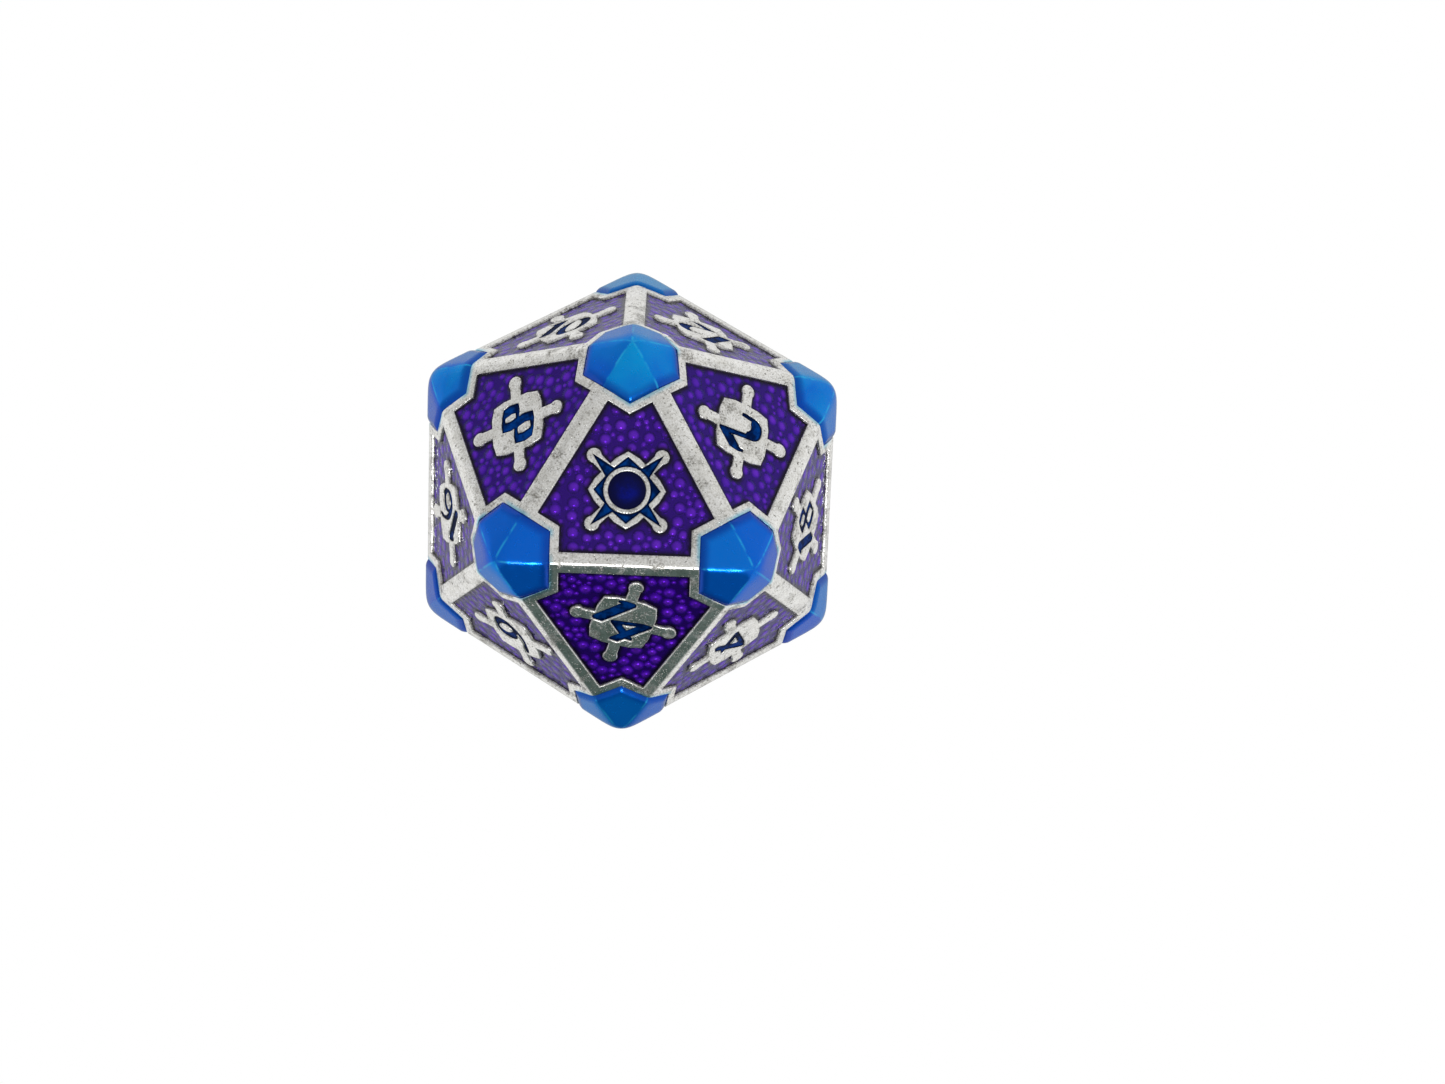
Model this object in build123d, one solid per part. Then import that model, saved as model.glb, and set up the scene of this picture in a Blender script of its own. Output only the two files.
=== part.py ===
from build123d import *

import os
from itertools import combinations
from math import atan2, cos, degrees, radians, sin, sqrt

# A die-cast twenty-sided die: plated zinc body, enamelled panels, numerals and corner caps.
# The die stands on its face 1 with face 20 up. The origin is the middle of face 1, on the
# table, with +Z up and +Y towards the corner that the top of face 20 points at.
# All lengths are in millimetres and all angles in degrees.

# ---- Driving dimensions ----------------------------------------------------------------
FACE_TO_FACE = 20.0  # across two opposite faces
BAR_HALF_WIDTH = 0.61  # metal border on each side of an edge, in the face
CAP_REACH = 2.80  # from a sharp corner along an edge to the side of its cap
RIM_WIDTH = 0.50  # metal rim round each cap, along the edge
RIDGE_FLAT = 0.20  # width of the small flat that breaks each edge
CORNER_CUT = 0.30  # how far the tumbled corners fall short of the sharp corner

PANEL_DEPTH = 0.45  # floor of the panel recess below the face
PANEL_SUNK = 0.17  # enamel surface of the panel below the face
NUMERAL_DEPTH = 0.32  # floor of a numeral's recess below the face
NUMERAL_SUNK = 0.09  # enamel surface of a numeral below the face
CAP_THICKNESS = 0.40  # enamel over the metal corner
CAP_SUNK = 0.02  # facets of a cap below the faces, so that metal carries the die

# Plaque: a compass star with four knobbed arms and four blunt points.
PLAQUE_POINT = 1.98  # centre to a blunt point
PLAQUE_VALLEY = 1.74  # centre to the valley between a point and an arm
PLAQUE_VALLEY_ANGLE = 20.0  # of a valley from its point
ARM_LENGTH = 2.42  # centre to the middle of a knob
ARM_WIDTH = 0.62
KNOB_RADIUS = 0.39

# Emblem on the highest face: a star-shaped cell round a raised ring round a gem cell.
GEM_RADIUS = 0.95
RING_RADIUS = 1.20
STAR_VALLEY = 1.30  # centre to the valley between two rays
STAR_VALLEY_ANGLE = 13.0  # of a valley from its long ray, which keeps the ray inside its arm
STAR_LONG_RAY = 2.52  # centre to the tip of a ray that runs into an arm
STAR_SHORT_RAY = 1.68  # centre to the tip of a ray that runs towards a blunt point

# Numerals, drawn with a broad pen. Pen and outlines are in units of the digit's height.
DIGIT_HEIGHT = 2.70  # one-digit numbers
PAIR_HEIGHT = 2.40  # two-digit numbers
DIGIT_GAP = 0.07
ONE_HALF_WIDTH = 0.15
DIGIT_HALF_WIDTH = 0.33  # every digit but the one
PEN_ANGLE = 38.0
PEN_WIDTH = 0.20
PEN_THICKNESS = 0.06
CURVE_STEP = 15.0  # between the points of a round pen stroke
LOZENGE_FULLNESS = 0.60  # 0.5 makes a lozenge stroke a plain diamond, 0.7 an oval
FLAT_TURN = 1e-9  # three points that turn less than this lie on one line

OVERCUT = 0.5  # how far a cutter reaches out past the surface

# ---- The icosahedron --------------------------------------------------------------------
GOLDEN = (1 + sqrt(5)) / 2
EDGE = FACE_TO_FACE * sqrt(3) / GOLDEN**2
IN_RADIUS = FACE_TO_FACE / 2
FACE_RADIUS = EDGE / sqrt(3)  # middle of a face to a corner
MID_RADIUS = EDGE * GOLDEN / 2  # middle of the die to the middle of an edge
CORNER_RADIUS = sqrt(IN_RADIUS**2 + FACE_RADIUS**2)
BELT_RADIUS = GOLDEN * FACE_RADIUS
BELT_HEIGHT = FACE_RADIUS / (2 * GOLDEN)
SIDES_AT_CORNER = 5
NEIGHBOUR_LIMIT = EDGE * 1.01  # corners closer than this share an edge
CENTRE = Vector(0, 0, IN_RADIUS)

# Corners lie in four rings of three: ring name, distance from the vertical axis, height over
# the middle of the die and first azimuth.
RINGS = (
    ("top", FACE_RADIUS, IN_RADIUS, 90),
    ("upper", BELT_RADIUS, BELT_HEIGHT, 30),
    ("lower", BELT_RADIUS, -BELT_HEIGHT, 90),
    ("foot", FACE_RADIUS, -IN_RADIUS, 30),
)
CORNERS = {
    f"{ring}_{azimuth}": Vector(radius, 0, height).rotate(Axis.Z, azimuth)
    for ring, radius, height, start in RINGS
    for azimuth in range(start, start + 360, 120)
}

# The upper half's numbers: the corner that the number's top points at, then the other two.
UPPER_FACES = {
    20: ("top_90", "top_210", "top_330"),
    8: ("upper_150", "top_90", "top_210"),
    2: ("upper_30", "top_90", "top_330"),
    14: ("top_330", "top_210", "upper_270"),
    10: ("lower_90", "top_90", "upper_150"),
    12: ("top_90", "lower_90", "upper_30"),
    16: ("lower_210", "top_210", "upper_150"),
    6: ("upper_270", "top_210", "lower_210"),
    18: ("top_330", "upper_30", "lower_330"),
    4: ("lower_330", "top_330", "upper_270"),
}
OPPOSITE_SUM = 21
EMBLEM_FACE = 20


def face_corners():
    """Number to its three corners, the one at the number's top first."""
    found = {}
    for number, names in UPPER_FACES.items():
        corners = [CORNERS[name] for name in names]
        found[number] = corners
        found[OPPOSITE_SUM - number] = [-corner for corner in corners]
    return dict(sorted(found.items()))


FACES = face_corners()


def face_plane(number):
    """The face's plane: origin at its middle, Z out of the die, Y towards the number's top."""
    corners = FACES[number]
    middle = (corners[0] + corners[1] + corners[2]) / 3
    up = (corners[0] - middle).normalized()
    out = middle.normalized()
    return Plane(origin=CENTRE + middle, x_dir=up.cross(out), z_dir=out)


# ---- Solids of the die's overall shape -----------------------------------------------------
def closed_solid(loops):
    """A solid from the corner loops of its flat faces."""
    return Solid(Shell([Face(Wire.make_polygon(loop)) for loop in loops]))


def icosahedron(in_radius):
    """An icosahedron about the middle of the die, given the distance from there to a face."""
    size = in_radius / IN_RADIUS
    return closed_solid([[CENTRE + corner * size for corner in loop] for loop in FACES.values()])


def edge_cutters():
    """Blocks that shave a narrow flat along every edge."""
    drop = RIDGE_FLAT / 2 * (FACE_RADIUS / 2) / IN_RADIUS
    block = Box(EDGE + OVERCUT, 2 * OVERCUT, OVERCUT, align=(Align.CENTER, Align.CENTER, Align.MIN))
    cutters = []
    for a, b in combinations(CORNERS.values(), 2):
        if (a - b).length < NEIGHBOUR_LIMIT:
            out = ((a + b) / 2).normalized()
            flat = Plane(origin=CENTRE + out * (MID_RADIUS - drop), x_dir=b - a, z_dir=out)
            cutters += (flat * block).solids()
    return cutters


def corner_cone(corner):
    """The space of one cap: a five-sided pyramid, tip inwards, whose sides cross the edges squarely."""
    out = corner.normalized()
    others = [other for other in CORNERS.values() if 0 < (other - corner).length < NEIGHBOUR_LIMIT]
    edge = (others[0] - corner).normalized()
    lean = -edge.dot(out)  # cosine between an edge and the way in
    spread = sqrt(1 - lean**2)
    step = 360 / SIDES_AT_CORNER
    to_side = (CAP_REACH + OVERCUT * lean) / spread  # middle of the base to the middle of a side
    to_point = to_side / cos(radians(step / 2))
    base = Plane(origin=CENTRE + corner + out * OVERCUT, x_dir=edge + out * lean, z_dir=out)
    points = [
        base.from_local_coords(Vector(to_point, 0, 0).rotate(Axis.Z, (turn + 0.5) * step))
        for turn in range(SIDES_AT_CORNER)
    ]
    tip = CENTRE + corner - out * (CAP_REACH / lean)
    sides = [[first, second, tip] for first, second in zip(points, points[1:] + points[:1])]
    return closed_solid([points, *sides])


# ---- Flat outlines, about the middle of a face ----------------------------------------------
def polar(radius, angle):
    return Vector(radius, 0, 0).rotate(Axis.Z, angle)


def closed_outline(points):
    return make_face(Polyline(*points, close=True))


def panel_outline():
    """The enamelled field: the face less its borders, notched round each cap."""
    rim = CAP_REACH + RIM_WIDTH
    corner = Vector(0, FACE_RADIUS, 0)
    notch = [
        corner + polar(rim, -60) + polar(BAR_HALF_WIDTH, -150),
        corner + polar(rim / cos(radians(30)), -90),
        corner + polar(rim, -120) + polar(BAR_HALF_WIDTH, -30),
    ]
    return closed_outline([point.rotate(Axis.Z, turn) for turn in (0, 120, 240) for point in notch])


def plaque_outline():
    """The raised plaque: an eight-cornered body with blunt points and knobbed arms."""
    body = []
    for turn in range(0, 360, 90):
        body += [
            polar(PLAQUE_VALLEY, turn - PLAQUE_VALLEY_ANGLE),
            polar(PLAQUE_POINT, turn),
            polar(PLAQUE_VALLEY, turn + PLAQUE_VALLEY_ANGLE),
        ]
    shape = closed_outline(body)
    for turn in range(45, 360, 90):
        shape += Pos(polar(ARM_LENGTH, turn)) * Circle(KNOB_RADIUS)
        shape += Rot(0, 0, turn) * Rectangle(ARM_LENGTH, ARM_WIDTH, align=(Align.MIN, Align.CENTER))
    return shape


def star_outline():
    """The emblem's star cell: eight rays, long and short in turn, round the raised ring."""
    points = []
    for turn in range(0, 360, 90):
        points += [
            polar(STAR_SHORT_RAY, turn),
            polar(STAR_VALLEY, turn + 45 - STAR_VALLEY_ANGLE),
            polar(STAR_LONG_RAY, turn + 45),
            polar(STAR_VALLEY, turn + 45 + STAR_VALLEY_ANGLE),
        ]
    return closed_outline(points) - Circle(RING_RADIUS)


# ---- Numerals ---------------------------------------------------------------------------------
def bow(x, y, half_width, half_height, start, end):
    """Points of a round pen stroke about (x, y), from one angle to another."""
    steps = round(abs(end - start) / CURVE_STEP)
    turns = [radians(start + (end - start) * i / steps) for i in range(steps + 1)]
    return [(x + half_width * cos(turn), y + half_height * sin(turn)) for turn in turns]


def lozenge(x, y, half_width, half_height):
    """Points of a diamond-shaped pen stroke about (x, y) with blunted sides."""
    side_x, side_y = half_width * LOZENGE_FULLNESS, half_height * LOZENGE_FULLNESS
    quarter = [(half_width, 0), (side_x, side_y), (0, half_height), (-side_x, side_y)]
    points = quarter + [(-u, -v) for u, v in quarter] + quarter[:1]
    return [(x + u, y + v) for u, v in points]


SIX = [bow(0.30, 0.38, 0.53, 0.55, 100, 180), bow(0.02, 0.32, 0.25, 0.225, 0, 360)]
PEN_STROKES = {
    0: [bow(0.0, 0.5, 0.24, 0.40, 0, 360)],
    1: [[(-0.12, 0.77), (-0.03, 0.90), (0.03, 0.90), (0.03, 0.08), (-0.03, 0.08), (-0.03, 0.90)]],
    2: [bow(-0.02, 0.70, 0.21, 0.21, 160, -35) + [(-0.22, 0.11), (0.19, 0.11), (0.26, 0.21)],
        [(-0.08, 0.16), (0.22, 0.16)], bow(-0.03, 0.69, 0.18, 0.18, 75, -20)],
    3: [bow(-0.03, 0.72, 0.20, 0.18, 155, -70), bow(-0.03, 0.31, 0.25, 0.22, 80, -155)],
    4: [[(0.16, 0.91), (-0.27, 0.36), (0.26, 0.36)], [(0.16, 0.91), (0.14, 0.09)]],
    5: [[(0.24, 0.90), (-0.15, 0.90), (-0.18, 0.56)] + bow(-0.04, 0.32, 0.24, 0.23, 118, -155)],
    6: SIX,
    7: [[(-0.24, 0.89), (0.24, 0.89), (-0.07, 0.09)]],
    8: [lozenge(0.02, 0.73, 0.23, 0.19), lozenge(0.01, 0.30, 0.26, 0.22)],
    9: [[(-x, 1 - y) for x, y in stroke] for stroke in SIX],
}


def turn_of(origin, a, b):
    """Positive where origin, a and b turn counter-clockwise."""
    return (a[0] - origin[0]) * (b[1] - origin[1]) - (a[1] - origin[1]) * (b[0] - origin[0])


def half_hull(ordered):
    """One side of the convex outline of points in order, less its last point."""
    kept = []
    for point in ordered:
        while len(kept) > 1 and turn_of(kept[-2], kept[-1], point) <= FLAT_TURN:
            kept.pop()
        kept.append(point)
    return kept[:-1]


def pen_at(point):
    """The corners of the pen's tip held at a point."""
    turn = radians(PEN_ANGLE)
    corners = []
    for along, across in ((1, 1), (-1, 1), (-1, -1), (1, -1)):
        u, v = along * PEN_WIDTH / 2, across * PEN_THICKNESS / 2
        corners.append((point[0] + u * cos(turn) - v * sin(turn), point[1] + u * sin(turn) + v * cos(turn)))
    return corners


def pen_sweep(start, end):
    """What the pen covers between two points."""
    points = sorted(pen_at(start) + pen_at(end))
    return closed_outline(half_hull(points) + half_hull(points[::-1]))


def digit_outline(digit):
    """A digit one unit high, standing on the X axis and centred on the Y axis."""
    sweeps = [
        pen_sweep(start, end)
        for stroke in PEN_STROKES[digit]
        for start, end in zip(stroke, stroke[1:])
    ]
    return sweeps[0].fuse(*sweeps[1:]).clean()


def number_outline(number):
    """The outlines of a number's digits, centred on the face."""
    digits = [int(letter) for letter in str(number)]
    height = DIGIT_HEIGHT if len(digits) == 1 else PAIR_HEIGHT
    half_widths = [ONE_HALF_WIDTH if digit == 1 else DIGIT_HALF_WIDTH for digit in digits]
    left = -sum(half_widths) - DIGIT_GAP * (len(digits) - 1) / 2
    faces = []
    for digit, half_width in zip(digits, half_widths):
        place = Pos((left + half_width) * height, -height / 2, 0)
        faces += (place * scale(digit_outline(digit), height)).faces()
        left += 2 * half_width + DIGIT_GAP
    return faces


# ---- Pieces -------------------------------------------------------------------------------------
def slab(faces, plane, bottom, top):
    """Flat outlines raised into solids between two depths below a face."""
    solids = []
    for face in faces:
        solid = extrude(Pos(0, 0, -bottom) * face, amount=bottom - top, dir=(0, 0, 1))
        solids += (plane * solid).solids()
    return solids


def write(name, solids):
    """One STEP file for a node, as a group where it holds more than one solid."""
    shape = solids[0] if len(solids) == 1 else Compound(label=name, children=solids)
    export_step(shape, f"parts/{name}.step")


def write_caps():
    """Write the enamel over each corner, highest first. Returns what the casting loses to them."""
    core = icosahedron(IN_RADIUS - CAP_THICKNESS)
    tumbled = Pos(CENTRE) * Sphere(CORNER_RADIUS - CORNER_CUT)
    outside = icosahedron(IN_RADIUS - CAP_SUNK) & tumbled
    ordered = sorted(CORNERS.values(), key=lambda c: (-round(c.Z, 3), degrees(atan2(c.Y, c.X)) % 360))
    seats = []
    for index, corner in enumerate(ordered, 1):
        cone = corner_cone(corner)
        write(f"corner_cap_{index:02d}", ((outside & cone) - core).solids())
        seats += (cone - core).solids()
    return seats


def inlay_cells(number):
    """Node names and outlines of the enamel cells in a face's plaque."""
    if number == EMBLEM_FACE:
        return {"emblem_gem_inlay": Circle(GEM_RADIUS).faces(), "emblem_star_inlay": star_outline().faces()}
    return {f"numeral_inlay_{number:02d}": number_outline(number)}


def write_enamel():
    """Write every face's enamel. Returns what the casting loses to it."""
    field = (panel_outline() - plaque_outline()).faces()
    recesses = []
    for number in FACES:
        plane = face_plane(number)
        write(f"panel_enamel_{number:02d}", slab(field, plane, PANEL_DEPTH, PANEL_SUNK))
        recesses += slab(field, plane, PANEL_DEPTH, -OVERCUT)
        for name, cells in inlay_cells(number).items():
            write(name, slab(cells, plane, NUMERAL_DEPTH, NUMERAL_SUNK))
            recesses += slab(cells, plane, NUMERAL_DEPTH, -OVERCUT)
    return recesses


def main():
    os.makedirs("parts", exist_ok=True)
    recesses = write_caps() + write_enamel()
    body = icosahedron(IN_RADIUS).cut(*edge_cutters())
    write("die_casting", body.cut(*recesses).solids())


main()
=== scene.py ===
from itertools import combinations
from math import cos, radians, sin, sqrt

import bmesh
import bpy
import numpy as np
from mathutils import Matrix, Vector
from mathutils.geometry import delaunay_2d_cdt


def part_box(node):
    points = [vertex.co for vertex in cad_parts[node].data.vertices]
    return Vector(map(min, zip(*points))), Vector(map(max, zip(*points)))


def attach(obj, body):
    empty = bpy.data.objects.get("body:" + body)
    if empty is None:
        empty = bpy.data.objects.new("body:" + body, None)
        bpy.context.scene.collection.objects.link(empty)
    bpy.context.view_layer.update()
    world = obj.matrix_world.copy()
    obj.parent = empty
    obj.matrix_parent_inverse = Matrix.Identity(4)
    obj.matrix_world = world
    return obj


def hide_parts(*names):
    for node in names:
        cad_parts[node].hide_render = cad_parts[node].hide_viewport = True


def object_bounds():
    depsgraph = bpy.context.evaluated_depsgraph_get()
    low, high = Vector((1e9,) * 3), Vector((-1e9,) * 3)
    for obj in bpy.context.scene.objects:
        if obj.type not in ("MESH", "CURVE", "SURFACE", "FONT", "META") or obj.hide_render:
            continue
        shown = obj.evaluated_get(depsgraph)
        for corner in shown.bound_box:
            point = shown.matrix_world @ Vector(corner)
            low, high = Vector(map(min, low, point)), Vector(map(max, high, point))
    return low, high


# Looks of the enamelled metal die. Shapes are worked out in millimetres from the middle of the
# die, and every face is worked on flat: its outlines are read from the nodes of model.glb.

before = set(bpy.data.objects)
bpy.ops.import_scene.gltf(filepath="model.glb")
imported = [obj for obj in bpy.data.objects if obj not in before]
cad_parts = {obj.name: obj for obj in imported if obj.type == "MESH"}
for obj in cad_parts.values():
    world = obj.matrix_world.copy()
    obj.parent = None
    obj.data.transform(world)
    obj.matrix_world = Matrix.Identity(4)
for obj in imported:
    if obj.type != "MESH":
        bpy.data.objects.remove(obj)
cad_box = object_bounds()

MM = 0.001

# ---- The die's body ---------------------------------------------------------------------------
GOLDEN = (1 + sqrt(5)) / 2
IN_RADIUS = (cad_box[1].z - cad_box[0].z) / 2 / MM
EDGE = 2 * IN_RADIUS * sqrt(3) / GOLDEN**2
FACE_RADIUS = EDGE / sqrt(3)
BELT_RADIUS = GOLDEN * FACE_RADIUS
BELT_HEIGHT = FACE_RADIUS / (2 * GOLDEN)
CORNER_RADIUS = sqrt(IN_RADIUS**2 + FACE_RADIUS**2)

RIDGE_SHARPNESS = 190  # higher makes the metal ridges along the edges tighter
CAP_SHARPNESS = 95  # the same for the ridges of the enamel caps
CAP_BLUNTING = 0.30  # how far the caps' tips fall short of the sharp corner, beyond that
CAP_REACH = 2.80  # from a sharp corner along an edge to the side of its cap
CAP_THICKNESS = 0.40
CAP_SUNK = 0.03  # enamel below the metal at a cap's rim, beyond its rounded lip
CAP_SHOULDER = 0.34  # width of the rounded shoulder of a cap's enamel
CAP_SWELL = 0.13  # rise of the enamel over the face, inside its shoulder
CAP_GRID = 26  # steps along a side of one facet of a cap
CAP_CROWDING = 1.4  # higher draws a cap's points closer to its ridges
TONE_SEED = 20050  # of how much lighter or darker each facet of a cap is

LIP = 0.075  # radius of the rounded metal edges
LIP_ANGLES = (30, 60, 90, 115)  # where rows of points follow the lip, in degrees; the last is past it
LIP_CLEARANCE = 0.9  # share of its distance that a row keeps from every outline
MITRE_LIMIT = 0.3  # lower lets the corners of an offset outline reach further out
RIDGE_ROWS = (0.04, 0.09, 0.16, 0.26, 0.42)  # rows of points along each ridge, from the ridge
METAL_STEP = 0.30  # spacing of the metal's points along outlines
FILL_STEP = METAL_STEP * 0.7  # the same over flat metal
CELL_STEP = 0.12  # the same inside a numeral or emblem cell
METAL_MARGIN = 2 * LIP  # from enamel to the nearest point over flat metal
CELL_MARGIN = 1.5 * LIP  # from metal to the nearest point inside a cell
TOP_SLACK = 0.001  # how far below a node's top a point may lie and still be on it
SIDE_SLACK = 0.0001  # how far off a side of a face a point may lie and still be on it
MERGE_REACH = 1e-5  # points of a triangulation that are nearer than this become one
WELD_REACH = 0.0002  # the same for the finished pieces
NO_LENGTH = 0.00001  # edges shorter than this are dropped from a finished piece
SHARP_ANGLE = 50  # degrees between faces that are shaded with an edge
FAR = 1.0  # distances beyond this make no difference to the materials

BEAD_RADII = (0.13, 0.36)  # smallest and largest bead of the panels
BEAD_SKEW = 1.5  # higher makes large beads rarer
BEAD_GAP = 0.88  # distance between neighbouring beads, in sums of their radii
BEAD_TRIES = 5000
BEAD_HEIGHT = 0.06  # rise of the enamel over a bead, in the bead's radii
BEAD_GROUND = 0.52  # the same for the metal ground under the enamel, which only the shading shows
BEAD_CEILING = 0.035  # no bead comes nearer than this to the face
PANEL_STEP = 0.05  # spacing of a panel's surface points
OUTLINE_STEP = 3 * PANEL_STEP  # the same along its outlines
MENISCUS = 0.02  # rise of the enamel where it meets metal
MENISCUS_WIDTH = 0.06
GEM_RISE = 0.11  # of the gem's middle above its rim


def unit(vectors):
    return vectors / np.linalg.norm(vectors, axis=-1, keepdims=True)


def die_corners():
    """The twelve corners, from the middle of the die, in four rings of three."""
    rings = ((FACE_RADIUS, IN_RADIUS, 90), (BELT_RADIUS, BELT_HEIGHT, 30),
             (BELT_RADIUS, -BELT_HEIGHT, 90), (FACE_RADIUS, -IN_RADIUS, 30))
    return np.array([
        (radius * cos(radians(turn)), radius * sin(radians(turn)), height)
        for radius, height, start in rings
        for turn in range(start, start + 360, 120)
    ])


NEIGHBOUR_LIMIT = EDGE * 1.01
CORNERS = die_corners()
TRIPLES = [
    triple for triple in combinations(range(len(CORNERS)), 3)
    if all(np.linalg.norm(CORNERS[a] - CORNERS[b]) < NEIGHBOUR_LIMIT for a, b in combinations(triple, 2))
]
NORMALS = unit(np.array([CORNERS[list(triple)].mean(0) for triple in TRIPLES]))
CENTRE = np.array([0, 0, IN_RADIUS])


def surface_radius(directions, sharpness, blunting=0.0):
    """Distance from the middle to the die's softened surface along each direction."""
    facing = np.clip(directions @ NORMALS.T, 0, None)
    total = (facing**sharpness).sum(1)
    if blunting:
        total = total + (IN_RADIUS / (CORNER_RADIUS - blunting)) ** sharpness
    return IN_RADIUS / total ** (1 / sharpness)


class Facet:
    """One face of the die, with flat coordinates about its middle."""

    def __init__(self, corner_ids):
        self.corner_ids = corner_ids
        corners = CORNERS[list(corner_ids)]
        middle = corners.mean(0)
        self.normal = unit(middle)
        self.y = unit(corners[0] - middle)
        self.x = np.cross(self.y, self.normal)
        self.corners = self.flat(corners)

    def flat(self, points):
        return np.stack([points @ self.x, points @ self.y], axis=-1)

    def lift(self, flat, depth=0.0, sink=0.0, sharpness=RIDGE_SHARPNESS, blunting=0.0):
        """Points in space: depth goes in along the face's normal, sink along the line to the middle."""
        plane = self.normal * IN_RADIUS + flat[:, :1] * self.x + flat[:, 1:] * self.y
        out = unit(plane)
        radius = surface_radius(out, sharpness, blunting) - sink / (out @ self.normal)
        return out * radius[:, None] - np.outer(np.broadcast_to(depth, len(flat)), self.normal)

    def kite(self, corner, reach):
        """The part of the face within reach of a corner: corner, edge point, tip, edge point."""
        tip_out = reach / cos(radians(30))
        others = [self.corners[i] for i in range(3) if i != corner]
        here = self.corners[corner]
        first, second = (here + unit(other - here) * reach for other in others)
        return np.array([here, first, here - unit(here) * tip_out, second])


def facet_of(node):
    """The facet that a node's top surface lies on."""
    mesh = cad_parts[node].data
    widest = max(mesh.polygons, key=lambda polygon: polygon.area)
    middle = np.array(widest.center) / MM - CENTRE
    facing = NORMALS @ middle
    return Facet(TRIPLES[int(facing.argmax())])


# ---- Flat geometry ----------------------------------------------------------------------------
def rim_loops(node, facet):
    """Outlines of a node's top surface, enamel on their left, with its depths at top and bottom."""
    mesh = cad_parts[node].data
    points = np.array([v.co for v in mesh.vertices]) / MM - CENTRE
    height = points @ facet.normal
    keys = [tuple(key) for key in np.round(facet.flat(points), 4)]
    following = {}
    for polygon in mesh.polygons:
        ids = list(polygon.vertices)
        if min(height[i] for i in ids) > height.max() - TOP_SLACK:
            for a, b in zip(ids, ids[1:] + ids[:1]):
                a, b = keys[a], keys[b]
                if a in following.get(b, ()):
                    following[b].discard(a)
                else:
                    following.setdefault(a, set()).add(b)
    loops = []
    while any(following.values()):
        here = next(key for key in following if following[key])
        loop = []
        while following.get(here):
            loop.append(here)
            here = following[here].pop()
        loops.append(np.array(loop))
    return loops, IN_RADIUS - height.max(), IN_RADIUS - height.min()


def segments(loops):
    return np.concatenate(loops), np.concatenate([np.roll(loop, -1, 0) for loop in loops])


def distance(points, loops):
    """Least distance from each point to the outlines."""
    a, b = segments(loops)
    along = b - a
    offset = points[:, None] - a
    share = np.clip((offset * along).sum(2) / (along**2).sum(1), 0, 1)
    return np.linalg.norm(offset - share[:, :, None] * along, axis=2).min(1)


def inside(points, loops):
    """Whether each point is enclosed an odd number of times."""
    a, b = segments(loops)
    x, y = points[:, :1], points[:, 1:]
    straddles = (a[:, 1] > y) != (b[:, 1] > y)
    rise = np.where(a[:, 1] == b[:, 1], 1, b[:, 1] - a[:, 1])
    left_of = x < a[:, 0] + (y - a[:, 1]) * (b[:, 0] - a[:, 0]) / rise
    return (straddles & left_of).sum(1) % 2 == 1


def offset_loop(loop, amount):
    """A loop moved to its right, mitred."""
    before = unit(loop - np.roll(loop, 1, 0))
    after = unit(np.roll(loop, -1, 0) - loop)
    first, second = (np.stack([way[:, 1], -way[:, 0]], axis=1) for way in (before, after))
    spread = np.maximum(1 + (first * second).sum(1), MITRE_LIMIT)
    return loop + amount * (first + second) / spread[:, None]


def divided(loop, step):
    """A loop with points added along its longer sides."""
    points = []
    for a, b in zip(loop, np.roll(loop, -1, 0)):
        count = max(1, round(np.linalg.norm(b - a) / step))
        points += [a + (b - a) * i / count for i in range(count)]
    return np.array(points)


def triangulate(loops, rows=(), loose=()):
    """Triangles that keep to every outline and row. A row is a list of points with gaps at None."""
    points, edges = [], []
    for loop in loops:
        start = len(points)
        points += list(loop)
        edges += [(start + i, start + (i + 1) % len(loop)) for i in range(len(loop))]
    for row in rows:
        for a, b in zip(row, row[1:] + row[:1]):
            if a is not None:
                points.append(a)
                if b is not None:
                    points.append(b)
                    edges.append((len(points) - 2, len(points) - 1))
    points += list(loose)
    found = delaunay_2d_cdt([Vector(p) for p in points], edges, [], 0, MERGE_REACH, False)
    return np.array([tuple(p) for p in found[0]]), np.array(found[2])


def lip_rows(loops, side):
    """Rows of points that follow outlines at the lip's distances, on one side of them."""
    rows = []
    for angle in LIP_ANGLES:
        away = LIP * (1 - cos(radians(angle)))
        for loop in loops:
            row = offset_loop(loop, away * side)
            valid = distance(row, loops) > LIP_CLEARANCE * away
            rows.append([point if keep else None for point, keep in zip(row, valid)])
    return rows


def lip_depth(away):
    """Depth of a rounded metal edge at a distance from its outline."""
    short = np.clip(LIP - away, 0, None)
    return LIP - np.sqrt(LIP**2 - short**2)


# ---- Meshes -----------------------------------------------------------------------------------
def make_piece(name, points, faces, nodes, material, values=None):
    """A smooth closed piece that stands for CAD nodes. values are named numbers at each point."""
    mesh = bpy.data.meshes.new(name)
    mesh.from_pydata(((points + CENTRE) * MM).tolist(), [], faces)
    for label, numbers in (values or {}).items():
        mesh.attributes.new(label, "FLOAT", "POINT").data.foreach_set("value", numbers.astype(np.float32))
    work = bmesh.new()
    work.from_mesh(mesh)
    bmesh.ops.remove_doubles(work, verts=work.verts, dist=WELD_REACH * MM)
    bmesh.ops.dissolve_degenerate(work, edges=work.edges, dist=NO_LENGTH * MM)
    work.to_mesh(mesh)
    work.free()
    mesh.shade_smooth()
    mesh.set_sharp_from_angle(angle=radians(SHARP_ANGLE))
    mesh.materials.append(material)
    piece = bpy.data.objects.new(name, mesh)
    bpy.context.scene.collection.objects.link(piece)
    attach(piece, "root")
    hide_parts(*nodes)
    return piece


def boundary(triangles):
    """Directed edges that only one triangle uses."""
    edges = {(t[i], t[(i + 1) % 3]) for t in triangles.tolist() for i in range(3)}
    return [(a, b) for a, b in edges if (b, a) not in edges]


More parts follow.
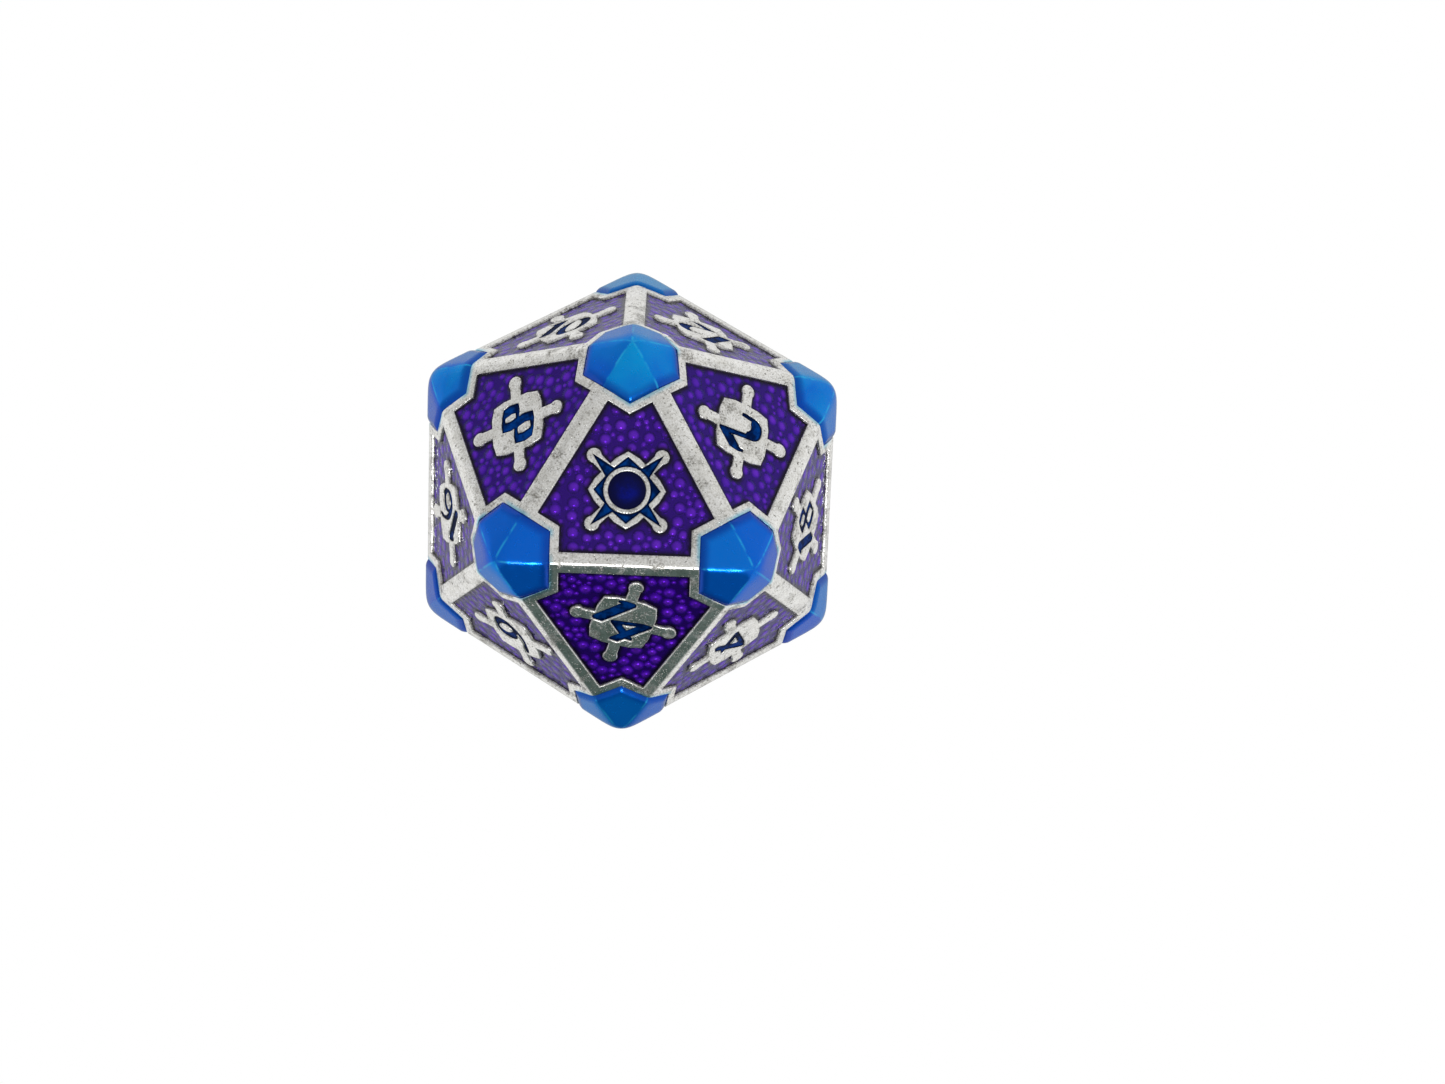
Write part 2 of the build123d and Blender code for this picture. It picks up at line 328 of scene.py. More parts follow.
def closed(top, bottom, triangles):
    """Faces of a slab with the same triangles above and below: points, faces."""
    count = len(top)
    faces = triangles.tolist() + (triangles[:, ::-1] + count).tolist()
    faces += [(b, a, a + count, b + count) for a, b in boundary(triangles)]
    return np.concatenate([top, bottom]), faces


def used_only(points, triangles):
    """Drop the points that no triangle uses."""
    kept, new = np.unique(triangles, return_inverse=True)
    return points[kept], new.reshape(triangles.shape)


# ---- What each face carries -------------------------------------------------------------------
class FaceWork:
    """The outlines of one face and its flat triangles, sorted by what they belong to."""

    def __init__(self, panel):
        self.panel = panel
        self.number = int(panel[-2:])
        self.facet = facet_of(panel)
        self.field, self.sunk, self.floor = rim_loops(panel, self.facet)
        self.field.sort(key=lambda loop: -np.ptp(loop[:, 0]))
        self.cells = {node: rim_loops(node, self.facet) for node in self.cell_nodes()}
        self.kites = [self.facet.kite(i, CAP_REACH) for i in range(3)]
        self.cell_loops = [loop for loops, _, _ in self.cells.values() for loop in loops]
        self.points, self.triangles = self.flat_triangles()
        middles = self.points[self.triangles].mean(1)
        self.region = self.regions(middles)

    def cell_nodes(self):
        numeral = f"numeral_inlay_{self.number:02d}"
        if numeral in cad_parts:
            return [numeral]
        return ["emblem_star_inlay", "emblem_gem_inlay"]

    def flat_triangles(self):
        field = [divided(loop, METAL_STEP) for loop in self.field]
        cells = [divided(loop, METAL_STEP) for loop in self.cell_loops]
        rows = lip_rows(field, 1) + lip_rows(cells, 1) + lip_rows(cells, -1)
        for away in RIDGE_ROWS:
            rows.append(list(divided(self.facet.corners * (1 - away / (FACE_RADIUS / 2)), METAL_STEP)))
        for angle in LIP_ANGLES:
            reach = CAP_REACH + LIP * (1 - cos(radians(angle)))
            rows += [list(self.facet.kite(i, reach)[1:]) + [None] for i in range(3)]
        loops = [divided(self.facet.corners, METAL_STEP), *self.kites, *field, *cells]
        loose = self.metal_fill()
        for loops_of_cell, _, _ in self.cells.values():
            loose += self.cell_fill(loops_of_cell)
        points, triangles = triangulate(loops, rows, loose)
        return points, triangles[~self.is_sliver(points, triangles)]

    def is_sliver(self, points, triangles):
        """Whether each triangle has all its points along one side of the face, and so no area."""
        sliver = np.zeros(len(triangles), bool)
        for side in combinations(self.facet.corners, 2):
            sliver |= (distance(points, [np.array(side)]) < SIDE_SLACK)[triangles].all(1)
        return sliver

    def metal_fill(self):
        """Points spread over the flat metal."""
        low, high = self.facet.corners.min(0), self.facet.corners.max(0)
        grid = hex_grid(low, high, FILL_STEP)
        grid = grid[inside(grid, [self.facet.corners]) & ~inside(grid, self.field)]
        grid = grid[distance(grid, self.field + self.cell_loops) > METAL_MARGIN]
        return list(grid[distance(grid, [self.facet.corners]) > RIDGE_ROWS[-1] + LIP])

    def cell_fill(self, loops):
        """Points spread over the inside of one cell."""
        low, high = np.concatenate(loops).min(0), np.concatenate(loops).max(0)
        grid = hex_grid(low, high, CELL_STEP)
        grid = grid[inside(grid, loops)]
        return list(grid[distance(grid, loops) > CELL_MARGIN])

    def regions(self, middles):
        """What each flat triangle belongs to: metal, field, cap or the name of a cell's node."""
        region = np.full(len(middles), "metal", dtype=object)
        region[inside(middles, self.field[:1])] = "field"
        region[inside(middles, self.field[1:])] = "metal"
        for node, (loops, _, _) in self.cells.items():
            region[inside(middles, loops)] = node
        for corner in self.facet.corners:
            ways = [unit(other - corner) for other in self.facet.corners if (other != corner).any()]
            near = [(middles - corner) @ way < CAP_REACH for way in ways]
            region[near[0] & near[1]] = "cap"
        return region

    def cap_distance(self, points):
        """Distance from each point to the nearest cap's side."""
        sides = [kite[[1, 2]] for kite in self.kites] + [kite[[2, 3]] for kite in self.kites]
        return distance(points, sides)

    def casting_points(self, region):
        """Every flat point, raised to where the casting's surface lies in a region."""
        if region == "metal":
            depth = lip_depth(distance(self.points, self.field + self.cell_loops))
            return self.facet.lift(self.points, depth, lip_depth(self.cap_distance(self.points)))
        if region == "cap":
            return self.facet.lift(self.points, 0, CAP_THICKNESS)
        floor = self.floor if region == "field" else self.cells[region][2]
        return self.facet.lift(self.points, floor)

    def casting_part(self):
        """Points and faces of this face's share of the casting, with distances to enamel and caps."""
        names = sorted(set(self.region))
        count = len(self.points)
        points = np.concatenate([self.casting_points(name) for name in names])
        near = np.minimum(distance(self.points, self.field + self.cell_loops), FAR)
        bleed = np.minimum(self.cap_distance(self.points), FAR)
        level = np.array([names.index(name) for name in self.region]) * count
        faces = (self.triangles + level[:, None]).tolist()
        owner = {}
        for triangle, start in zip(self.triangles.tolist(), level.tolist()):
            for a, b in zip(triangle, triangle[1:] + triangle[:1]):
                owner[a, b] = start
        for (a, b), start in owner.items():
            other = owner.get((b, a), start)
            if a < b and other != start:
                faces.append((b + start, a + start, a + other, b + other))
        return points, faces, np.tile(near, len(names)), np.tile(bleed, len(names))


def hex_grid(low, high, step):
    """Staggered rows of points over a rectangle."""
    rows = np.arange(low[1], high[1], step * sqrt(3) / 2)
    columns = np.arange(low[0], high[0], step)
    grid = np.array([(x + step / 2 * (i % 2), y) for i, y in enumerate(rows) for x in columns])
    return grid.reshape(-1, 2)


def build_casting(works, material):
    """The metal body, put together from its share of every face."""
    points, faces, near, bleed = [], [], [], []
    start = 0
    for work in works:
        some_points, some_faces, some_near, some_bleed = work.casting_part()
        points.append(some_points)
        faces += [[i + start for i in face] for face in some_faces]
        near.append(some_near)
        bleed.append(some_bleed)
        start += len(some_points)
    values = {"enamel_distance": np.concatenate(near), "cap_distance": np.concatenate(bleed)}
    points, faces, values = compact(np.concatenate(points), faces, values)
    make_piece("casting", points, faces, ["die_casting"], material, values)


def compact(points, faces, values):
    """Drop the points that no face uses."""
    used = np.zeros(len(points), bool)
    used[[i for face in faces for i in face]] = True
    new = np.cumsum(used) - 1
    faces = [[int(new[i]) for i in face] for face in faces]
    return points[used], faces, {label: numbers[used] for label, numbers in values.items()}


# ---- Enamel -----------------------------------------------------------------------------------
def scatter_beads(facet, seed):
    """Places and radii of the beads of one face, the large ones settled first."""
    random = np.random.default_rng(seed)
    low, high = facet.corners.min(0), facet.corners.max(0)
    places = random.uniform(low, high, (BEAD_TRIES, 2))
    small, large = BEAD_RADII
    radii = np.sort(small + (large - small) * random.uniform(0, 1, BEAD_TRIES) ** BEAD_SKEW)[::-1]
    kept_places, kept_radii = np.empty((0, 2)), np.empty(0)
    for place, radius in zip(places, radii):
        apart = np.linalg.norm(kept_places - place, axis=1)
        if (apart > (kept_radii + radius) * BEAD_GAP).all():
            kept_places = np.vstack([kept_places, place])
            kept_radii = np.append(kept_radii, radius)
    return kept_places, kept_radii


def bead_relief(points, beads):
    """Size of the nearest bead, fading to its edge, and how near its top is, from 0 to 1."""
    swell, share = np.zeros(len(points)), np.zeros(len(points))
    for place, radius in zip(*beads):
        near = np.clip(1 - ((points - place) ** 2).sum(1) / radius**2, 0, None)
        swell = np.maximum(swell, near * radius)
        share = np.maximum(share, near)
    return swell, share


def build_panel(work, material):
    """The beaded enamel round the plaque of one face."""
    loops = [divided(loop, OUTLINE_STEP) for loop in work.field]
    low, high = loops[0].min(0), loops[0].max(0)
    grid = hex_grid(low, high, PANEL_STEP)
    grid = grid[inside(grid, loops)]
    grid = grid[distance(grid, loops) > PANEL_STEP / 2]
    points, triangles = triangulate(loops, loose=grid)
    triangles = triangles[inside(points[triangles].mean(1), loops)]
    points, triangles = used_only(points, triangles)
    swell, share = bead_relief(points, scatter_beads(work.facet, work.number))
    away = distance(points, loops)
    depth = work.sunk - BEAD_HEIGHT * swell - MENISCUS * np.exp(-away / MENISCUS_WIDTH)
    top = work.facet.lift(points, np.maximum(depth, BEAD_CEILING))
    base_points, base_triangles = triangulate(loops)
    base_triangles = base_triangles[inside(base_points[base_triangles].mean(1), loops)]
    base = work.facet.lift(base_points, work.floor)
    rim = sorted({i for edge in boundary(triangles) for i in edge})
    foot = {i: len(points) + n for n, i in enumerate(rim)}
    skirt = work.facet.lift(points[rim], work.floor)
    faces = triangles.tolist() + [(b, a, foot[a], foot[b]) for a, b in boundary(triangles)]
    faces += (base_triangles[:, ::-1] + len(points) + len(rim)).tolist()
    rest = np.zeros(len(rim) + len(base))
    values = {
        "bead": np.concatenate([share, rest]),
        "swell": np.concatenate([swell, rest]),
        "wall_distance": np.concatenate([away, rest]),
    }
    every = np.concatenate([top, skirt, base])
    make_piece(f"panel_{work.number:02d}", every, faces, [work.panel], material, values)


def build_cell(work, node, material, swell):
    """The enamel of a numeral or emblem cell. swell gives its depth from its distance to the metal."""
    loops, sunk, floor = work.cells[node]
    points, triangles = used_only(work.points, work.triangles[work.region == node])
    away = distance(points, loops)
    top = work.facet.lift(points, swell(away, sunk))
    every, faces = closed(top, work.facet.lift(points, floor), triangles)
    make_piece(node.replace("_inlay", ""), every, faces, [node], material,
               {"wall_distance": np.tile(away, 2)})


def meniscus(away, sunk):
    """Depth of enamel that creeps up where it meets metal."""
    return sunk - MENISCUS * np.exp(-away / MENISCUS_WIDTH)


def gem_dome(away, sunk):
    """Depth of enamel that swells towards its middle."""
    reach = away.max()
    return sunk - GEM_RISE * (1 - (1 - away / reach) ** 2)


# ---- Corner caps ------------------------------------------------------------------------------
def cap_side(corner_id, triple):
    """One facet of a cap's enamel, above and below: points, faces, distances to rim and ridges."""
    facet = Facet(triple)
    here, first, tip, second = facet.kite(triple.index(corner_id), CAP_REACH)
    steps = np.linspace(0, 1, CAP_GRID + 1) ** CAP_CROWDING
    s, t = (grid.ravel()[:, None] for grid in np.meshgrid(steps, steps, indexing="ij"))
    flat = (1 - s) * (1 - t) * here + s * (1 - t) * first + s * t * tip + (1 - s) * t * second
    away = distance(flat, [np.array([first, tip]), np.array([tip, second])])
    ridge = distance(flat, [np.array([here, first]), np.array([here, second])])
    shoulder = np.clip(1 - away / CAP_SHOULDER, 0, 1) ** 2
    sink = (CAP_SUNK + CAP_SWELL) * shoulder - CAP_SWELL
    top = facet.lift(flat, 0, sink, CAP_SHARPNESS, CAP_BLUNTING)
    bottom = facet.lift(flat, 0, CAP_THICKNESS)
    side = CAP_GRID + 1
    cells = [(i * side + j, (i + 1) * side + j, (i + 1) * side + j + 1, i * side + j + 1)
             for i in range(CAP_GRID) for j in range(CAP_GRID)]
    a, b, c = top[cells[0][0]], top[cells[0][1]], top[cells[0][2]]
    if np.cross(b - a, c - a) @ facet.normal < 0:
        cells = [cell[::-1] for cell in cells]
    count = len(flat)
    faces = cells + [tuple(i + count for i in cell[::-1]) for cell in cells]
    rim = [(i * side + CAP_GRID, (i + 1) * side + CAP_GRID) for i in range(CAP_GRID)]
    rim += [(CAP_GRID * side + i, CAP_GRID * side + i + 1) for i in range(CAP_GRID)]
    directed = {(cell[i], cell[(i + 1) % 4]) for cell in cells for i in range(4)}
    for a, b in rim:
        if (a, b) not in directed:
            a, b = b, a
        faces.append((b, a, a + count, b + count))
    return np.concatenate([top, bottom]), faces, np.tile(away, 2), np.tile(ridge, 2)


def cap_node_at(corner):
    """The CAD cap whose box is nearest to a corner."""
    def gap(node):
        low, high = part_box(node)
        return (Vector((corner + CENTRE) * MM) - (low + high) / 2).length
    return min((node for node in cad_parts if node.startswith("corner_cap")), key=gap)


def build_cap(corner_id, tones, material):
    """One cap, its facets each with a tone of its own, as their enamel is not equally thick."""
    points, faces, rim, ridge, tone = [], [], [], [], []
    for triple, facet_tone in zip(TRIPLES, tones):
        if corner_id in triple:
            some_points, some_faces, some_rim, some_ridge = cap_side(corner_id, triple)
            start = sum(len(part) for part in points)
            points.append(some_points)
            faces += [[i + start for i in face] for face in some_faces]
            rim.append(some_rim)
            ridge.append(some_ridge)
            tone.append(np.full(len(some_points), facet_tone))
    node = cap_node_at(CORNERS[corner_id])
    name = node.replace("corner_", "")
    values = {"rim_distance": rim, "ridge_distance": ridge, "tone": tone}
    values = {label: np.concatenate(numbers) for label, numbers in values.items()}
    make_piece(name, np.concatenate(points), faces, [node], material, values)


# ---- Materials --------------------------------------------------------------------------------
def add_node(tree, kind, **settings):
    made = tree.nodes.new(kind)
    for key, value in settings.items():
        setattr(made, key, value)
    return made


def mix_colour(tree, share, first, second):
    """A blend of two colours, each a tuple or the output of a node."""
    made = add_node(tree, "ShaderNodeMix", data_type="RGBA")
    tree.links.new(share, made.inputs["Factor"])
    for socket, value in ((made.inputs[6], first), (made.inputs[7], second)):
        if isinstance(value, tuple):
            socket.default_value = (*value, 1)
        else:
            tree.links.new(value, socket)
    return made.outputs[2]


class Shader:
    """A principled material and short ways to wire its nodes. Textures are sized in millimetres."""

    def __init__(self, name):
        self.material = bpy.data.materials.new(name)
        self.material.use_nodes = True
        self.tree = self.material.node_tree
        self.main = self.tree.nodes["Principled BSDF"]
        place = self.node("ShaderNodeTexCoord")
        scale = self.node("ShaderNodeVectorMath", operation="SCALE")
        scale.inputs["Scale"].default_value = 1 / MM
        self.link(place.outputs["Object"], scale.inputs[0])
        self.place = scale.outputs[0]

    def node(self, kind, **settings):
        return add_node(self.tree, kind, **settings)

    def link(self, source, target):
        self.tree.links.new(source, target)

    def noise(self, per_mm, detail=4.0, roughness=0.6, distortion=0.0):
        made = self.node("ShaderNodeTexNoise")
        made.inputs["Scale"].default_value = per_mm
        made.inputs["Detail"].default_value = detail
        made.inputs["Roughness"].default_value = roughness
        made.inputs["Distortion"].default_value = distortion
        self.link(self.place, made.inputs["Vector"])
        return made.outputs["Fac"]

    def attribute(self, label):
        return self.node("ShaderNodeAttribute", attribute_name=label).outputs["Fac"]

    def remap(self, source, low, high, to_low=0.0, to_high=1.0):
        made = self.node("ShaderNodeMapRange", interpolation_type="SMOOTHSTEP")
        for label, value in zip(("From Min", "From Max", "To Min", "To Max"), (low, high, to_low, to_high)):
            made.inputs[label].default_value = value
        self.link(source, made.inputs["Value"])
        return made.outputs["Result"]

    def place_along(self, axis):
        made = self.node("ShaderNodeSeparateXYZ")
        self.link(self.place, made.inputs[0])
        return made.outputs[axis]

    def math(self, operation, first, second):
        made = self.node("ShaderNodeMath", operation=operation)
        for socket, value in zip(made.inputs, (first, second)):
            if isinstance(value, (int, float)):
                socket.default_value = value
            else:
                self.link(value, socket)
        return made.outputs[0]

    def mix(self, share, first, second):
        return mix_colour(self.tree, share, first, second)

    def bump(self, height, reach_mm, strength=1.0):
        made = self.node("ShaderNodeBump")
        made.inputs["Strength"].default_value = strength
        made.inputs["Distance"].default_value = reach_mm * MM
        self.link(height, made.inputs["Height"])
        self.link(made.outputs["Normal"], self.main.inputs["Normal"])

    def into(self, **sockets):
        for label, source in sockets.items():
            self.link(source, self.main.inputs[label.replace("_", " ")])


SILVER = (0.83, 0.825, 0.79)
SILVER_PALE = (0.95, 0.95, 0.93)
SILVER_DULL = (0.56, 0.54, 0.49)
TARNISH = (0.16, 0.15, 0.13)
BLEED_BLUE = (0.12, 0.50, 0.68)
# painted shade of the purple enamel where it meets the metal walls
PURPLE_WALL_SHADE = (0.006, 0.001, 0.020)
PURPLE_DEEP = (0.026, 0.0005, 0.190)
PURPLE = (0.050, 0.002, 0.350)
VIOLET = (0.165, 0.022, 0.680)
BLUE_DEEP = (0.0, 0.040, 0.36)
BLUE = (0.0, 0.135, 0.70)
BLUE_BRIGHT = (0.0, 0.36, 0.80)
BLUE_LINE = (0.03, 0.50, 0.90)
# darkest ink blue, also the painted shade along the numeral cells' walls
NAVY = (0.0, 0.004, 0.030)
INK_BLUE = (0.0, 0.050, 0.280)
# also the painted shade towards the gem's rim
GEM_NAVY = (0.0, 0.001, 0.035)
GEM_BLUE = (0.0, 0.004, 0.200)

# How each enamel's clear coat and tinted ground reflect: see lacquer.
PANEL_LACQUER = {"metallic": 0.62, "edge_tint": (0.15, 0.12, 0.26), "coat": 1.0, "coat_ior": 1.26}
CAP_LACQUER = {"metallic": 0.58, "edge_tint": (0.0, 0.30, 0.34), "coat": 1.0, "coat_ior": 1.20}
NUMERAL_LACQUER = {"metallic": 0.45, "edge_tint": (0.0, 0.0, 0.05), "coat": 0.15, "coat_ior": 1.20}
GEM_LACQUER = {"metallic": 0.40, "edge_tint": (0.0, 0.05, 0.40), "coat": 0.9, "coat_ior": 1.20}
COAT_ROUGHNESS = 0.05

CAP_DRIFT = (6.0, 18.0)  # mm along Y, clouds added, over which the caps turn from blue to bright blue
CLOUD_DRIFT = 14  # mm that a full cloud adds
DRIFT_SHARE = 0.85  # share of the bright blue at the end of that
TONE_SHARE = 0.55  # the most that a facet's own tone adds to the share or takes from it


def metal_material():
    """Bright plating on a zinc casting: fine pits, dark specks and darker flecks next to the enamel."""
    shade = Shader("plated_zinc")
    cloud = shade.noise(0.9, 5)
    grain = shade.noise(9.0, 6, 0.75)
    specks = shade.remap(shade.noise(12.0, 3), 0.56, 0.66)
    patch = shade.remap(shade.noise(1.1, 3), 0.46, 0.58)
    specks = shade.math("MULTIPLY", specks, patch)
    pits = shade.remap(shade.noise(5.0, 2), 0.645, 0.685)
    # Darker flecks on the metal within 0.2 mm of the enamel.
    near_enamel_dark = shade.remap(shade.attribute("enamel_distance"), 0.0, 0.20, 1.0, 0.0)
    near_enamel_dark = shade.math("MULTIPLY", near_enamel_dark, shade.remap(grain, 0.42, 0.66))
    stain = shade.math("MAXIMUM", shade.math("MULTIPLY", specks, 0.75), shade.math("MULTIPLY", near_enamel_dark, 0.50))
    stain = shade.math("MAXIMUM", stain, shade.math("MULTIPLY", pits, 0.8))
    smudge = shade.remap(shade.noise(0.75, 4, 0.7, 0.4), 0.52, 0.64)
    smudge = shade.math("MULTIPLY", smudge, shade.remap(grain, 0.40, 0.60, 0.15, 0.80))
    stain = shade.math("MAXIMUM", stain, smudge)
    colour = shade.mix(shade.remap(cloud, 0.35, 0.65), SILVER, SILVER_PALE)
    dull = shade.math("MULTIPLY", shade.remap(grain, 0.44, 0.66), 0.85)
    colour = shade.mix(dull, colour, SILVER_DULL)
    colour = shade.mix(stain, colour, TARNISH)
    bleed = shade.remap(shade.attribute("cap_distance"), 0.02, 0.32, 0.80, 0.0)
    bleed = shade.math("MULTIPLY", bleed, shade.remap(shade.noise(0.5, 2), 0.42, 0.60))
    colour = shade.mix(bleed, colour, BLEED_BLUE)
    gloss = shade.math("ADD", shade.remap(cloud, 0.30, 0.70, 0.16, 0.28), shade.math("MULTIPLY", stain, 0.3))
    shade.into(Base_Color=colour, Roughness=gloss)
    shade.main.inputs["Metallic"].default_value = 1.0
    relief = shade.math("SUBTRACT", shade.math("MULTIPLY", grain, 0.5), stain)
    shade.bump(relief, 0.010)
    return shade.material


def lacquer(shade, metallic, edge_tint, coat, coat_ior):
    """Clear glossy coat over tinted metal: how translucent enamel on plating looks."""
    shade.main.inputs["Metallic"].default_value = metallic
    shade.main.inputs["Specular IOR Level"].default_value = 0.0
    shade.main.inputs["Specular Tint"].default_value = (*edge_tint, 1)
    shade.main.inputs["Coat Weight"].default_value = coat
    shade.main.inputs["Coat Roughness"].default_value = COAT_ROUGHNESS
    shade.main.inputs["Coat IOR"].default_value = coat_ior


def panel_material():
    """Purple enamel over a beaded metal ground: light where it is thin, on the beads, with painted shade
    near black by the metal walls.
    """
    shade = Shader("purple_enamel")
    bead = shade.attribute("bead")
    cloud = shade.noise(0.8, 3)
    colour = shade.mix(shade.remap(bead, 0.0, 0.35), PURPLE_DEEP, PURPLE)
    lift = shade.math("MULTIPLY", shade.remap(bead, 0.25, 0.95), shade.remap(cloud, 0.3, 0.7, 0.30, 0.85))
    colour = shade.mix(lift, colour, VIOLET)
    # Painted shade: the enamel darkens to near black close to the metal walls.
    wall_shade = shade.remap(shade.attribute("wall_distance"), 0.03, 0.34, 1.0, 0.0)
    colour = shade.mix(wall_shade, colour, PURPLE_WALL_SHADE)
    shade.into(Base_Color=colour, Roughness=shade.remap(shade.noise(5.0, 4), 0.3, 0.7, 0.18, 0.32))
    lacquer(shade, **PANEL_LACQUER)
    ground = shade.math("ADD", shade.attribute("swell"), shade.math("MULTIPLY", shade.noise(7.0, 3), 0.014))
    shade.bump(ground, BEAD_GROUND)
    return shade.material


def cap_material():
    """Clear blue enamel over the faceted metal corner, deeper in colour towards its rim."""
    shade = Shader("blue_enamel")
    cloud = shade.math("MULTIPLY", shade.noise(0.30, 3, 0.5, 0.6), CLOUD_DRIFT)
    drift = shade.math("ADD", shade.place_along("Y"), cloud)
    tone = shade.math("MULTIPLY", shade.attribute("tone"), TONE_SHARE)
    share = shade.math("ADD", shade.remap(drift, *CAP_DRIFT, 0.0, DRIFT_SHARE), tone)
    colour = shade.mix(share, BLUE, BLUE_BRIGHT)
    rim = shade.remap(shade.attribute("rim_distance"), 0.05, 0.55, 0.75, 0.0)
    colour = shade.mix(rim, colour, BLUE_DEEP)
    line = shade.remap(shade.attribute("ridge_distance"), 0.02, 0.09, 0.6, 0.0)
    line = shade.math("MULTIPLY", line, shade.remap(shade.noise(1.1, 3), 0.40, 0.60))
    colour = shade.mix(line, colour, BLUE_LINE)
    shade.into(Base_Color=colour, Roughness=shade.remap(shade.noise(2.5, 3), 0.3, 0.7, 0.16, 0.28))
    lacquer(shade, **CAP_LACQUER)
    shade.bump(shade.noise(1.4, 3), 0.02)
    return shade.material


def numeral_material():
    """Deep blue enamel, lighter in patches away from the metal, and dark navy along the metal as painted
    shade.
    """
    shade = Shader("numeral_enamel")
    # Painted shade: the ink stays dark navy along the cell's metal walls.
    edge = shade.remap(shade.attribute("wall_distance"), 0.02, 0.13)
    blend = shade.math("MULTIPLY", edge, shade.remap(shade.noise(1.6, 3), 0.38, 0.62, 0.12, 1.0))
    shade.into(Base_Color=shade.mix(blend, NAVY, INK_BLUE),
               Roughness=shade.remap(shade.noise(6.0, 4), 0.3, 0.7, 0.22, 0.36))
    lacquer(shade, **NUMERAL_LACQUER)
    shade.bump(shade.noise(8.0, 4), 0.006)
    return shade.material


def gem_material():
    """Navy enamel with a brighter middle: painted shade darkens it towards its rim."""
    shade = Shader("gem_enamel")
    # Painted shade: darker towards the gem's rim, by its distance to the metal.
    edge = shade.remap(shade.attribute("wall_distance"), 0.05, 0.7)
    blend = shade.math("MULTIPLY", edge, shade.remap(shade.noise(1.2, 3), 0.35, 0.65, 0.3, 1.0))
    shade.into(Base_Color=shade.mix(blend, GEM_NAVY, GEM_BLUE),
               Roughness=shade.remap(shade.noise(3.0, 3), 0.3, 0.7, 0.18, 0.30))
    lacquer(shade, **GEM_LACQUER)
    shade.bump(shade.noise(3.0, 3), 0.008)
    return shade.material


# ---- Stage, light and camera ------------------------------------------------------------------
CAMERA_PLACE = Vector((0.002538, -0.006962, 0.196630))
CAMERA_LOOK = Vector((0.01331438, 0.02568869, -0.99958132))
CAMERA_UP = Vector((-0.03536235, 0.99905668, 0.02520418))
CAMERA_FIELD = 23.2317  # degrees across the picture

FLOOR_SIZE = 3.0  # metres, as the other places and sizes of the stage are
TABLE_GLOW = 0.90  # brightness of the table, as the die mirrors it
TABLE_SHADE = 0.43  # the same close to the die, where it keeps the light off
SHADE_REACH = (0.008, 0.021)  # from below the die's middle, where its shade starts to fade and has ended
SKY_GLOW = 0.66  # brightness of the room overhead, as the die mirrors it
SKY_SLOPE = 0.13  # how much brighter the room is towards +X
KEY_PLACE = Vector((0.02, -0.36, 0.42))
KEY_SIZE = (0.22, 0.10)
KEY_POWER = 0.75  # watts
DARK_SIDE = Vector((0.0, -1.0, 0.12))  # where the unlit part of the room lies
DARK_SPREAD = (24, 42)  # degrees from its middle to where it starts and has ended to fade
DARK_COLOUR = (0.075, 0.110, 0.100)


def build_camera():
    data = bpy.data.cameras.new("camera")
    data.sensor_width = 36.0
    data.lens_unit = "FOV"
    data.angle = radians(CAMERA_FIELD)
    data.clip_start = 0.005
    camera = bpy.data.objects.new("camera", data)
    look, up = CAMERA_LOOK.normalized(), CAMERA_UP.normalized()
    right = look.cross(up)
    turn = Matrix((right, up, -look)).transposed()
    camera.matrix_world = Matrix.Translation(CAMERA_PLACE) @ turn.to_4x4()
    bpy.context.scene.collection.objects.link(camera)
    bpy.context.scene.camera = camera


def dark_share(tree, vector):
    """How much a direction looks into the unlit part of the room, 0 to 1."""
    unit_vector = add_node(tree, "ShaderNodeVectorMath", operation="NORMALIZE")
    tree.links.new(vector, unit_vector.inputs[0])
    facing = add_node(tree, "ShaderNodeVectorMath", operation="DOT_PRODUCT")
    facing.inputs[1].default_value = DARK_SIDE.normalized()
    tree.links.new(unit_vector.outputs[0], facing.inputs[0])
    share = add_node(tree, "ShaderNodeMapRange", interpolation_type="SMOOTHSTEP")
    share.inputs["From Min"].default_value = cos(radians(DARK_SPREAD[1]))
    share.inputs["From Max"].default_value = cos(radians(DARK_SPREAD[0]))
    tree.links.new(facing.outputs["Value"], share.inputs["Value"])
    return share.outputs["Result"]


def glow_seen(tree, vector, glow):
    """Plain white to the camera, and the room's own glow with its unlit part to everything else."""
    path = tree.nodes.new("ShaderNodeLightPath")
    room = mix_colour(tree, dark_share(tree, vector), glow, DARK_COLOUR)
    return mix_colour(tree, path.outputs["Is Camera Ray"], room, (1.0, 1.0, 1.0))


def paper_material():
    """White paper to the camera. The die mirrors it dimmer, with a painted shadow close to its foot."""
    paper = bpy.data.materials.new("floor_paper")
    paper.use_nodes = True
    tree = paper.node_tree
    tree.nodes.remove(tree.nodes["Principled BSDF"])
    glow = tree.nodes.new("ShaderNodeEmission")
    place = tree.nodes.new("ShaderNodeTexCoord")
    below = add_node(tree, "ShaderNodeVectorMath", operation="SUBTRACT")
    below.inputs[1].default_value = (0, 0, IN_RADIUS * MM)
    tree.links.new(place.outputs["Object"], below.inputs[0])
    away = add_node(tree, "ShaderNodeVectorMath", operation="LENGTH")
    tree.links.new(place.outputs["Object"], away.inputs[0])
    fade = add_node(tree, "ShaderNodeMapRange", interpolation_type="SMOOTHSTEP")
    for label, value in zip(("From Min", "From Max"), SHADE_REACH):
        fade.inputs[label].default_value = value
    tree.links.new(away.outputs["Value"], fade.inputs["Value"])
    table = mix_colour(tree, fade.outputs["Result"], (TABLE_SHADE,) * 3, (TABLE_GLOW,) * 3)
    tree.links.new(glow_seen(tree, below.outputs[0], table), glow.inputs["Color"])
    tree.links.new(glow.outputs[0], tree.nodes["Material Output"].inputs["Surface"])
    return paper


